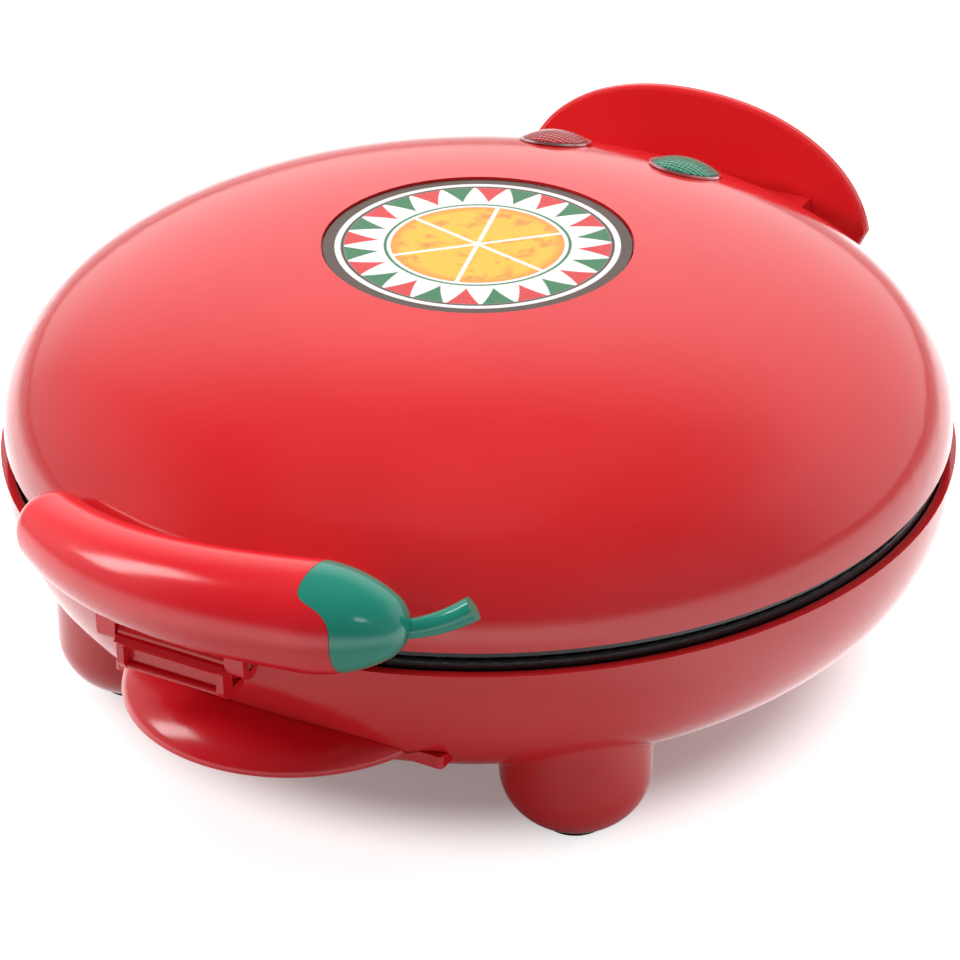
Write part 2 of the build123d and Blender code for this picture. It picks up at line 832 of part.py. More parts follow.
# ---- cooking plates -------------------------------------------------------------------
with BuildPart() as pocket:
    reach = degrees(atan2(pocket_spacing / 2, sqrt(pocket_radius**2 - pocket_spacing**2 / 4)))
    half_turn = 180 / pocket_count
    apex = pocket_spacing / 2 / sin(radians(half_turn))
    first = polar(pocket_radius, reach - half_turn)[:2]
    last = polar(pocket_radius, half_turn - reach)[:2]
    with BuildSketch(Plane.XY.offset(lower_plate_top)) as pocket_face:
        with BuildLine():
            Polyline(first, (apex, 0), last)
            ThreePointArc(last, (pocket_radius, 0), first)
        make_face()
        fillet(pocket_face.vertices(), pocket_corner)
    extrude(amount=-plate_depth, taper=pocket_draft)
    fillet(pocket.faces().sort_by(Axis.Z)[0].edges(), pocket_fillet)

plate_points = [
    (0, lower_back_z),
    (plate_pan_radius - plate_back_inset, lower_back_z),
    (plate_pan_radius, lower_plate_top - plate_flange),
    (plate_radius, lower_plate_top - plate_flange),
    (plate_radius, lower_plate_top),
    (0, lower_plate_top),
]
with BuildPart() as lower_plate:
    add(revolved_ring(plate_points))
    # raised channel that the heating element is pressed into
    with BuildSketch(Plane.XY.offset(lower_back_z)):
        Circle(element_circle + element_radius + seat_gap + channel_width)
        Circle(element_circle + element_radius + seat_gap, mode=Mode.SUBTRACT)
        Circle(element_circle - element_radius - seat_gap)
        Circle(element_circle - element_radius - seat_gap - channel_width, mode=Mode.SUBTRACT)
    extrude(amount=-channel_height)
    # bosses for the screws
    with BuildSketch(Plane.XY.offset(lower_back_z)):
        with PolarLocations(boss_circle, boss_count, boss_start_angle):
            Circle(boss_radius)
    extrude(amount=-(reflector_depth - seat_gap))
    with BuildSketch(Plane.XY.offset(lower_reflector_z)):
        with PolarLocations(boss_circle, boss_count, boss_start_angle):
            Circle(screw_radius + seat_gap)
    extrude(amount=screw_bite + 1, mode=Mode.SUBTRACT)
    with PolarLocations(0, pocket_count, 180 / pocket_count):
        add(pocket.part, mode=Mode.SUBTRACT)

with BuildPart() as upper_plate:
    mirror(lower_plate.part, about=mirror_plane)

# heating elements: a tube round the plate's back whose ends turn away from the plate
with BuildPart() as lower_element:
    ends = (90 + element_gap_angle / 2, 90 - element_gap_angle / 2 + 360)
    with BuildLine() as element_path:
        for end, way in ((ends[0], -1), (ends[1], 1)):
            foot = Vector(*polar(element_circle, end, element_z))
            along = Vector(*polar(1, end + 90 * way))
            bend = foot + along * element_bend + Vector(0, 0, -element_bend)
            middle = foot + along * element_bend * sin(pi / 4)
            middle = middle + Vector(0, 0, -element_bend * (1 - cos(pi / 4)))
            ThreePointArc(foot, middle, bend)
            Line(bend, bend + Vector(0, 0, -element_tail))
        CenterArc((0, 0, element_z), element_circle, ends[0], 360 - element_gap_angle)
    tail = Vector(*polar(element_circle, ends[0], element_z)) + Vector(*polar(1, ends[0] - 90)) * element_bend
    tail_spot = (tail.X, tail.Y)
    with BuildSketch(Plane(origin=tail + Vector(0, 0, -element_bend - element_tail), z_dir=(0, 0, 1))):
        Circle(element_radius)
    sweep(path=element_path.wires()[0])

with BuildPart() as upper_element:
    mirror(lower_element.part, about=mirror_plane)

tail_spots = [tail_spot, (-tail_spot[0], tail_spot[1])]

# ---- reflectors -----------------------------------------------------------------------
with BuildPart() as lower_reflector:
    rim_top = lower_reflector_z + lower_reflector_rise
    add(
        revolved_ring(
            [
                (0, lower_reflector_z - reflector_wall),
                (lower_reflector_radius, lower_reflector_z - reflector_wall),
                (lower_reflector_radius, rim_top - reflector_wall),
                (lower_reflector_radius + reflector_lip, rim_top - reflector_wall),
                (lower_reflector_radius + reflector_lip, rim_top),
                (lower_reflector_radius - reflector_wall, rim_top),
                (lower_reflector_radius - reflector_wall, lower_reflector_z),
                (0, lower_reflector_z),
            ]
        )
    )
    with BuildSketch(Plane.XY.offset(lower_reflector_z)):
        with Locations(*tail_spots):
            Circle(element_radius + 1)
        with PolarLocations(boss_circle, boss_count, boss_start_angle):
            Circle(screw_radius + seat_gap)
    extrude(amount=10, both=True, mode=Mode.SUBTRACT)

with BuildPart() as upper_reflector:
    lip_z = lid_bezel_top_z + seat_gap
    inner = upper_reflector_radius - reflector_wall
    add(
        revolved_ring(
            [
                (0, upper_reflector_z),
                (inner - reflector_corner, upper_reflector_z),
                (inner, upper_reflector_z - reflector_corner),
                (inner, lip_z),
                (lid_radius - lid_wall - 2, lip_z),
                (lid_radius - lid_wall - 2, lip_z + reflector_wall),
                (upper_reflector_radius, lip_z + reflector_wall),
                (upper_reflector_radius, upper_reflector_z - reflector_corner + reflector_wall / 2),
                (inner - reflector_corner + reflector_wall / 2, upper_reflector_z + reflector_wall),
                (0, upper_reflector_z + reflector_wall),
            ]
        )
    )
    with BuildSketch(Plane.XY.offset(upper_reflector_z)):
        with Locations(*tail_spots):
            Circle(element_radius + 1)
        with PolarLocations(boss_circle, boss_count, boss_start_angle):
            Circle(screw_radius + seat_gap)
    extrude(amount=10, both=True, mode=Mode.SUBTRACT)
    with BuildSketch(Plane.XY.offset(lip_z)):
        with Locations(*[polar(lid_screw_circle, a)[:2] for a in lid_screw_angles]):
            Circle(lid_screw_radius + seat_gap)
    extrude(amount=5, both=True, mode=Mode.SUBTRACT)

with BuildPart() as upper_plate_screws:
    head_low = upper_reflector_z + reflector_wall + seat_gap
    with BuildSketch(Plane.XY.offset(head_low)):
        with PolarLocations(boss_circle, boss_count, boss_start_angle):
            Circle(screw_head_radius)
    extrude(amount=screw_head_height)
    with BuildSketch(Plane.XY.offset(head_low)):
        with PolarLocations(boss_circle, boss_count, boss_start_angle):
            Circle(screw_radius)
    extrude(amount=-screw_bite)

# ---- base -----------------------------------------------------------------------------
gland_lean = bowl_r(gland_z + 1) - bowl_r(gland_z - 1)
gland_plane = Plane(
    origin=polar(bowl_r(gland_z), gland_angle, gland_z), z_dir=polar(2, gland_angle, -gland_lean)
)
base_bezel_points = [
    (bezel_bore, lower_plate_top),
    (base_bezel_radius, lower_plate_top),
    (base_bezel_radius, base_bezel_seat_z),
    (base_bezel_radius - bezel_ledge_width, base_bezel_seat_z),
    (base_bezel_radius - bezel_ledge_width, lower_plate_top - plate_flange - bezel_seat_width / 2),
    (ledge_bore, lower_plate_top - plate_flange - bezel_seat_width / 2),
    (ledge_bore, lower_plate_top - plate_flange - seat_gap),
    (bezel_bore, lower_plate_top - plate_flange - seat_gap),
]
with BuildPart() as base_bezel:
    add(revolved_ring(base_bezel_points))
    fillet(edges().filter_by(GeomType.CIRCLE).group_by(Axis.Z)[-1], bezel_edge_fillet)

with BuildPart() as base_fixings:
    # blocks under the bezel, and hollow posts under the plate
    with BuildSketch(Plane.XY.offset(base_bezel_seat_z - seat_gap)):
        with PolarLocations(base_bezel_radius - 1, 2 * boss_count, boss_start_angle):
            Rectangle(2 * bezel_seat_width, 2 * bezel_seat_width)
    extrude(amount=-2 * bezel_seat_width)
    with BuildSketch(Plane.XY.offset(post_top_z)):
        with PolarLocations(boss_circle, boss_count, boss_start_angle):
            Circle(post_radius)
    extrude(amount=-(post_top_z - bowl_floor_z))
    # bosses for the grip's screws
    with BuildSketch(front_plane(grip_screw_y)):
        with Locations(*grip_screw_spots):
            Circle(handle_boss_radius)
    extrude(amount=10)
    add(bowl_outer, mode=Mode.INTERSECT)

with BuildPart() as base_shell:
    add(bowl_outer)
    # legs
    for spot in leg_spots:
        with Locations(spot):
            add(leg_solid())
    fillet(
        edges().filter_by(
            lambda e: any(
                abs(sqrt((p.X - s[0]) ** 2 + (p.Y - s[1]) ** 2) - leg_radius) < 0.05
                for s in leg_spots
                for p in [e.position_at(0.5)]
            )
            and pad_height + leg_nose < e.position_at(0.5).Z < rim_z - 12
        ),
        leg_fillet,
    )
    # rear stand, its neck and the hinge's webs
    extrude(base_outline, amount=stand_thickness)
    with BuildSketch(Plane.XY.offset(stand_stop_z)):
        with Locations((0, stand_front_y - 20)):
            Rectangle(2 * neck_half_width, 41)
    extrude(amount=-base_neck_drop)
    for side in (-1, 1):
        with BuildSketch(side_plane(side * base_knuckle_x - knuckle_length / 2)):
            with Locations((hinge_y, parting_z)):
                Circle(knuckle_radius)
            with BuildLine():
                Polyline(
                    (hinge_y - knuckle_radius, parting_z),
                    (hinge_y - knuckle_radius, rim_z + 1),
                    (hinge_y - knuckle_radius - 3, rim_z - 2),
                    (hinge_y - knuckle_radius - 3, stand_stop_z - 2),
                    (hinge_y + hinge_web_back, stand_stop_z - 2),
                    (hinge_y + hinge_web_back, parting_z),
                    close=True,
                )
            make_face()
        extrude(amount=knuckle_length)
        with BuildSketch(side_plane(side * base_knuckle_x - knuckle_length)):
            with Locations((hinge_y, parting_z)):
                Circle(hinge_pin_radius + running_gap)
        extrude(amount=2 * knuckle_length, mode=Mode.SUBTRACT)
    with BuildSketch(Plane.XY.offset(stand_stop_z - base_neck_drop)):
        with Locations((0, cell_y)):
            with GridLocations(cell_pitch, 0, neck_cells, 1):
                Rectangle(cell_width, cell_depth)
    extrude(amount=base_neck_drop - neck_wall, mode=Mode.SUBTRACT)
    # catch for the latch, on the front of the bowl
    with BuildSketch(side_plane(latch_ends[0] + 1)):
        with BuildLine():
            catch_y = -rim_radius - catch_reach
            Polyline(
                (catch_y + 2 * catch_reach, catch_z),
                (catch_y, catch_z),
                (catch_y, catch_z + catch_height - catch_slope / 2),
                (catch_y + catch_slope, catch_z + catch_height),
                (catch_y + 2 * catch_reach, catch_z + catch_height),
                close=True,
            )
        make_face()
    extrude(amount=latch_length - 2)
    # hollow of the bowl and of the legs
    add(bowl_inner, mode=Mode.SUBTRACT)
    for spot in leg_spots:
        with Locations(spot):
            add(leg_solid(leg_wall, pad_height + leg_wall), mode=Mode.SUBTRACT)
            with Locations((0, 0, pad_height)):
                Cylinder(
                    pad_spigot_radius + seat_gap,
                    2 * leg_wall + 1,
                    mode=Mode.SUBTRACT,
                )
    add(base_fixings.part)
    # deep screw holes up the posts, vents, and the hole for the cord's bush
    with BuildSketch(Plane.XY.offset(bowl_floor_z - 1)):
        with PolarLocations(boss_circle, boss_count, boss_start_angle):
            Circle(screw_head_radius + slip_gap)
    extrude(amount=post_top_z - post_web - bowl_floor_z + 1, mode=Mode.SUBTRACT)
    with BuildSketch(Plane.XY.offset(bowl_floor_z)):
        with PolarLocations(boss_circle, boss_count, boss_start_angle):
            Circle(screw_radius + seat_gap)
        with PolarLocations(vent_circle, vent_count):
            SlotOverall(vent_length, vent_width)
    extrude(amount=60, mode=Mode.SUBTRACT)
    with BuildSketch(Plane.XY.offset(bowl_floor_z - 1)):
        with PolarLocations(vent_circle, vent_count):
            SlotOverall(vent_length, vent_width)
    extrude(amount=8, mode=Mode.SUBTRACT)
    with BuildSketch(front_plane(grip_screw_y)):
        with Locations(*grip_screw_spots):
            Circle(screw_radius + seat_gap)
    extrude(amount=20, mode=Mode.SUBTRACT)
    with BuildSketch(gland_plane.offset(gland_seat)):
        Circle(gland_flange_radius + seat_gap)
    extrude(amount=10, mode=Mode.SUBTRACT)
    with BuildSketch(gland_plane):
        Circle(gland_radius + seat_gap)
    extrude(amount=12, both=True, mode=Mode.SUBTRACT)

with BuildPart() as foot_pads:
    with BuildSketch():
        with Locations(*leg_spots):
            Circle(pad_radius)
    extrude(amount=pad_height - seat_gap)
    fillet(edges().group_by(Axis.Z)[0], 0.6)
    with BuildSketch():
        with Locations(*leg_spots):
            Circle(pad_spigot_radius)
    extrude(amount=pad_height + leg_wall)

with BuildPart() as hinge_pins:
    for side in (-1, 1):
        pin_start = min(side * knuckle_inner_x, side * (knuckle_inner_x + knuckle_length + knuckle_pitch))
        with BuildSketch(side_plane(pin_start)):
            with Locations((hinge_y, parting_z)):
                Circle(hinge_pin_radius)
        extrude(amount=knuckle_length + knuckle_pitch)

with BuildPart() as base_screws:
    head_top = post_top_z - post_web - seat_gap
    with BuildSketch(Plane.XY.offset(head_top)):
        with PolarLocations(boss_circle, boss_count, boss_start_angle):
            Circle(screw_head_radius)
    extrude(amount=-screw_head_height)
    with BuildSketch(Plane.XY.offset(head_top)):
        with PolarLocations(boss_circle, boss_count, boss_start_angle):
            Circle(screw_radius)
    extrude(amount=post_web + reflector_wall + screw_bite)

# ---- electrical parts -----------------------------------------------------------------
with BuildPart() as thermostat:
    with BuildSketch(Plane.XY.offset(lower_back_z - seat_gap)):
        Circle(thermostat_radius)
    extrude(amount=-thermostat_height)
    with BuildSketch(Plane.XY.offset(lower_back_z - seat_gap - thermostat_height)):
        Circle(thermostat_base_radius)
        with Locations((-thermostat_radius, 0), (thermostat_radius, 0)):
            Rectangle(thermostat_tab_length, thermostat_tab_width)
    extrude(amount=-thermostat_base_height)

with BuildPart() as thermal_fuse:
    with BuildSketch(side_plane(fuse_x)):
        with Locations((0, lower_back_z - seat_gap - fuse_radius)):
            Circle(fuse_radius)
            Rectangle(2 * fuse_radius, fuse_radius, align=(Align.CENTER, Align.MIN))
    extrude(amount=fuse_length)

with BuildPart() as terminal_block:
    block_low = bowl_floor_z + bowl_wall + seat_gap + terminal_foot
    with BuildSketch(Plane.XY.offset(block_low)):
        with Locations((0, terminal_y)):
            RectangleRounded(terminal_length, terminal_width, terminal_corner)
    extrude(amount=terminal_height)
    with BuildSketch(Plane.XY.offset(block_low)):
        with Locations((0, terminal_y)):
            with GridLocations(terminal_length - 2 * terminal_foot_inset, 0, 2, 1):
                Circle(terminal_foot_inset - terminal_foot)
    extrude(amount=-terminal_foot)
    with BuildSketch(Plane.XY.offset(block_low + terminal_height)):
        with Locations((0, terminal_y)):
            with GridLocations(terminal_length / terminal_ways, terminal_width / 2, terminal_ways, 2):
                Circle(terminal_hole_radius)
    extrude(amount=-terminal_hole_depth, mode=Mode.SUBTRACT)

with BuildPart() as cord_gland:
    with BuildSketch(gland_plane.offset(gland_seat + seat_gap)):
        Circle(gland_flange_radius)
    extrude(amount=gland_flange_thickness)
    with BuildSketch(gland_plane.offset(gland_flange_thickness / 2)):
        Circle(gland_radius)
    extrude(amount=gland_reach, taper=6)
    with BuildSketch(gland_plane.offset(gland_flange_thickness / 2)):
        Circle(gland_radius)
    extrude(amount=-(gland_flange_thickness / 2 + 2 * bowl_wall))
    with BuildSketch(gland_plane):
        Circle(cord_hole_radius)
    extrude(amount=30, both=True, mode=Mode.SUBTRACT)

# ---- grip on the front of the bowl -----------------------------------------------------
def grip_dome(inset=0.0):
    """Upper half of a flattened round of revolution, whose flat foot is at the grip's foot."""
    radius, height = grip_radius - inset, grip_height - inset
    angles = [radians(90 * i / 6) for i in range(7)]
    arc_points = [(radius * cos(a), grip_foot_z + height * sin(a)) for a in angles]
    with BuildPart() as dome:
        with BuildSketch(Plane.XZ):
            with BuildLine():
                Spline(*arc_points, tangents=[(0, 1), (-1, 0)])
                Line(arc_points[-1], (0, grip_foot_z))
                Line((0, grip_foot_z), arc_points[0])
            make_face()
        revolve(axis=Axis.Z)
    return dome.part


with BuildPart() as front_grip:
    with Locations((0, grip_y)):
        add(grip_dome())
    split(bisect_by=Plane(origin=(0, grip_back_y, 0), z_dir=(0, -1, 0)), keep=Keep.TOP)
    with Locations((0, grip_y)):
        add(grip_dome(grip_wall), mode=Mode.SUBTRACT)
    # bar across the back, with a rounded lug at each end
    with BuildPart(mode=Mode.PRIVATE) as grip_bar:
        with BuildSketch(Plane.XY.offset(grip_bar_foot_z)):
            with Locations((grip_bar_left, grip_bar_front_y)):
                Rectangle(grip_bar_right - grip_bar_left, grip_back_y - grip_bar_front_y, align=Align.MIN)
        extrude(amount=grip_bar_height)
        fillet(edges().filter_by(Axis.Z).group_by(Axis.Y)[0], grip_bar_fillet)
    add(grip_bar.part)
    # bosses for the screws, inside the grip
    with BuildPart(mode=Mode.PRIVATE) as grip_bosses:
        with BuildSketch(front_plane(grip_screw_y)):
            with Locations(*grip_screw_spots):
                Circle(grip_boss_radius)
        extrude(amount=grip_radius)
        with Locations((0, grip_y)):
            add(grip_dome(grip_wall / 2), mode=Mode.INTERSECT)
    add(grip_bosses.part)
    add(bowl_solid(inset=-seat_gap), mode=Mode.SUBTRACT)
    with BuildSketch(front_plane(grip_screw_y)):
        with Locations(*grip_screw_spots):
            Circle(screw_radius + seat_gap)
    extrude(amount=grip_screw_length, mode=Mode.SUBTRACT)

# screws from inside the bowl
with BuildPart() as grip_screws:
    with BuildSketch(front_plane(grip_screw_y + seat_gap)):
        with Locations(*grip_screw_spots):
            Circle(screw_head_radius)
    extrude(amount=-screw_head_height)
    with BuildSketch(front_plane(grip_screw_y + seat_gap)):
        with Locations(*grip_screw_spots):
            Circle(screw_radius)
    extrude(amount=grip_screw_length)

# ---- finished pieces ------------------------------------------------------------------
# the origin is moved to the middle of the whole length, from the handle to the stand
handle_reach = -chili_handle.part.bounding_box().min.Y
center_shift = (handle_reach - stand_rear_y) / 2

pieces = {
    "lid_shell": lid_shell,
    "lid_bezel": lid_bezel,
    "lid_screws": lid_screws,
    "badge_disc": badge_disc,
    "red_lens": red_lens,
    "green_lens": green_lens,
    "lens_rims": lens_rims,
    "indicator_lamps": indicator_lamps,
    "lamp_holder": lamp_holder,
    "chili_handle": chili_handle,
    "chili_cap": chili_cap,
    "handle_screws": handle_screws,
    "latch_pin": latch_pin,
    "latch": latch,
    "upper_plate": upper_plate,
    "upper_element": upper_element,
    "upper_reflector": upper_reflector,
    "upper_plate_screws": upper_plate_screws,
    "base_shell": base_shell,
    "base_bezel": base_bezel,
    "lower_plate": lower_plate,
    "lower_element": lower_element,
    "lower_reflector": lower_reflector,
    "base_screws": base_screws,
    "foot_pads": foot_pads,
    "hinge_pins": hinge_pins,
    "thermostat": thermostat,
    "thermal_fuse": thermal_fuse,
    "terminal_block": terminal_block,
    "cord_gland": cord_gland,
    "front_grip": front_grip,
    "grip_screws": grip_screws,
}
for name, piece in pieces.items():
    piece.part.label = name
    piece.part.position = (0, center_shift, 0)
    export_step(piece.part, f"parts/{name}.step")
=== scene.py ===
"""Looks of a countertop quesadilla maker: procedural finishes, printed label, camera and studio."""

import json
import math

import bpy
from mathutils import Matrix, Vector


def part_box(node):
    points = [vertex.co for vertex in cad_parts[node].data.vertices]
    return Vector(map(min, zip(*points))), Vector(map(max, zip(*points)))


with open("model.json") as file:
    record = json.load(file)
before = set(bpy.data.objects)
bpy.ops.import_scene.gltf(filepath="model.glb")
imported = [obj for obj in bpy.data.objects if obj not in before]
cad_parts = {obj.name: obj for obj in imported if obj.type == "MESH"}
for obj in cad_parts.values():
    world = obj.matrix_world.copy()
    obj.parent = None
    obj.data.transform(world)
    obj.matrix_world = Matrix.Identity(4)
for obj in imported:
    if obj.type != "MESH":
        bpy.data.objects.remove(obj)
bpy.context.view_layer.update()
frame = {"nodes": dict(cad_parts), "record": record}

nodes = frame["nodes"]
scene = bpy.context.scene

MM = 0.001
WHITE = (1, 1, 1, 1)
badge_low, badge_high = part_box("badge_disc")
bowl_axis = (badge_low + badge_high) / 2
badge_radius = (badge_high.x - badge_low.x) / 2


# ---- node helpers -----------------------------------------------------------
class Nodes:
    """Short calls for building one node tree, which reads the named texture coordinates."""

    def __init__(self, tree, coords):
        self.tree = tree
        self.coords = tree.nodes.new("ShaderNodeTexCoord").outputs[coords]

    def add(self, kind, **settings):
        node = self.tree.nodes.new(kind)
        for key, value in settings.items():
            setattr(node, key, value)
        return node

    def link(self, source, target):
        if hasattr(source, "is_output"):
            self.tree.links.new(source, target)
        else:
            target.default_value = source

    def math(self, operation, a, b=0.0):
        node = self.add("ShaderNodeMath", operation=operation)
        self.link(a, node.inputs[0])
        self.link(b, node.inputs[1])
        return node.outputs[0]

    def flip(self, value):
        """One minus the value."""
        return self.math("SUBTRACT", 1.0, value)

    def noise(self, scale, detail=3.0, roughness=0.5, stretch=None):
        node = self.add("ShaderNodeTexNoise")
        node.inputs["Scale"].default_value = scale
        node.inputs["Detail"].default_value = detail
        node.inputs["Roughness"].default_value = roughness
        source = self.coords
        if stretch:
            mapping = self.add("ShaderNodeMapping")
            mapping.inputs["Scale"].default_value = stretch
            self.link(source, mapping.inputs["Vector"])
            source = mapping.outputs["Vector"]
        self.link(source, node.inputs["Vector"])
        return node.outputs["Fac"]

    def ramp(self, value, low, high, to_low=0.0, to_high=1.0):
        node = self.add("ShaderNodeMapRange", interpolation_type="SMOOTHSTEP")
        self.link(value, node.inputs["Value"])
        for key, number in (("From Min", low), ("From Max", high), ("To Min", to_low), ("To Max", to_high)):
            self.link(number, node.inputs[key])
        return node.outputs["Result"]

    def mix(self, factor, a, b):
        node = self.add("ShaderNodeMix", data_type="RGBA", blend_type="MIX")
        self.link(factor, node.inputs["Factor"])
        self.link(a, node.inputs["A"])
        self.link(b, node.inputs["B"])
        return node.outputs["Result"]

    def bump(self, height, strength, distance, under=None):
        node = self.add("ShaderNodeBump")
        node.inputs["Strength"].default_value = strength
        node.inputs["Distance"].default_value = distance
        self.link(height, node.inputs["Height"])
        if under is not None:
            self.link(under, node.inputs["Normal"])
        return node.outputs["Normal"]

    def split(self, vector):
        """x, y and z of a vector."""
        node = self.add("ShaderNodeSeparateXYZ")
        self.link(vector, node.inputs[0])
        return node.outputs

    def axes(self, offset=(0, 0, 0)):
        """x, y and z of the point, measured from offset."""
        shifted = self.add("ShaderNodeVectorMath", operation="SUBTRACT")
        self.link(self.coords, shifted.inputs[0])
        shifted.inputs[1].default_value = offset
        return self.split(shifted.outputs[0])

    def distance(self, middle):
        """Distance of the point from middle."""
        node = self.add("ShaderNodeVectorMath", operation="DISTANCE")
        self.link(self.coords, node.inputs[0])
        node.inputs[1].default_value = middle
        return node.outputs["Value"]


class Finish(Nodes):
    """Node tree of one new material."""

    def __init__(self, name):
        self.material = bpy.data.materials.new(name)
        self.material.use_nodes = True
        super().__init__(self.material.node_tree, "Object")
        self.shader = self.tree.nodes["Principled BSDF"]
        self.output = self.tree.nodes["Material Output"]

    def put(self, **inputs):
        """Link or set the shader's inputs; _ in a name stands for a space."""
        for name, source in inputs.items():
            self.link(source, self.shader.inputs[name.replace("_", " ")])


def linear(red, green, blue):
    """Colour as seen on screen, 0 to 255, to the shader's linear values."""
    shares = [c / 255 for c in (red, green, blue)]
    return tuple(c / 12.92 if c <= 0.04045 else ((c + 0.055) / 1.055) ** 2.4 for c in shares) + (1.0,)


# ---- finishes ---------------------------------------------------------------
def moulded_plastic(name, colour, deep, roughness, ripple=0.02):
    """Glossy injection-moulded plastic: faint flow mottling and a slightly rippled skin."""
    made = Finish(name)
    flow = made.ramp(made.noise(14, 2), 0.35, 0.7)
    haze = made.noise(260, 4, 0.6)
    waves = made.bump(made.noise(55, 1), ripple, 2 * MM)
    made.put(
        Base_Color=made.mix(flow, colour, deep),
        Roughness=made.ramp(haze, 0.3, 0.8, roughness, roughness + 0.05),
        Normal=made.bump(made.noise(900, 2), ripple * 0.6, 0.4 * MM, waves),
        IOR=1.5,
    )
    return made.material


def dull_metal(name, colour, deep, roughness, stretch=None, scale=180, bump=0.15):
    """Bare metal with drawn or cast grain."""
    made = Finish(name)
    grain = made.noise(scale, 5, 0.6, stretch)
    stain = made.ramp(made.noise(22), 0.35, 0.75)
    made.put(
        Base_Color=made.mix(stain, colour, deep),
        Roughness=made.ramp(grain, 0.3, 0.75, roughness, roughness + 0.15),
        Normal=made.bump(grain, bump, 0.3 * MM),
        Metallic=1.0,
    )
    return made.material


def rubber_finish():
    """Matte black rubber with a fine grain."""
    made = Finish("pad_rubber")
    grain = made.noise(1500, 3, 0.7)
    cloud = made.ramp(made.noise(60), 0.3, 0.7)
    made.put(
        Base_Color=made.mix(cloud, linear(34, 34, 36), linear(24, 24, 26)),
        Roughness=made.ramp(grain, 0.2, 0.8, 0.62, 0.82),
        Normal=made.bump(grain, 0.3, 0.2 * MM),
    )
    return made.material


def nonstick_finish():
    """Dark release coating sprayed on cast aluminium: fine pebbling and pale flecks."""
    made = Finish("nonstick_coating")
    pebble = made.noise(1300, 3, 0.6)
    flecks = made.ramp(made.noise(2600, 1), 0.69, 0.74)
    cloud = made.ramp(made.noise(30), 0.3, 0.75)
    base = made.mix(cloud, linear(46, 46, 49), linear(37, 37, 40))
    made.put(
        Base_Color=made.mix(flecks, base, linear(92, 92, 95)),
        Roughness=made.ramp(pebble, 0.25, 0.8, 0.28, 0.44),
        Normal=made.bump(pebble, 0.35, 0.25 * MM),
    )
    return made.material


def lens_finish(name, colour, deep, glow):
    """Coloured prismatic lens: a diagonal grid of small pyramids under a clear face."""
    made = Finish(name)
    prism_pitch = 2.1 * MM
    # the sine of 45 degrees, as the sum and the difference of x and y run diagonally
    diagonal = 0.7071
    wave_number = 2 * math.pi / prism_pitch * diagonal
    x, y, _ = made.axes()
    across = made.math("SINE", made.math("MULTIPLY", made.math("ADD", x, y), wave_number))
    along = made.math("SINE", made.math("MULTIPLY", made.math("SUBTRACT", x, y), wave_number))
    prisms = made.math("MULTIPLY", across, along)
    made.put(
        Base_Color=made.mix(made.ramp(prisms, -0.9, 0.9), deep, colour),
        Roughness=made.ramp(made.noise(300), 0.3, 0.7, 0.06, 0.12),
        Normal=made.bump(prisms, 0.5, 0.4 * MM),
        Transmission_Weight=0.25,
        Emission_Color=glow,
        Emission_Strength=0.03,
    )
    return made.material


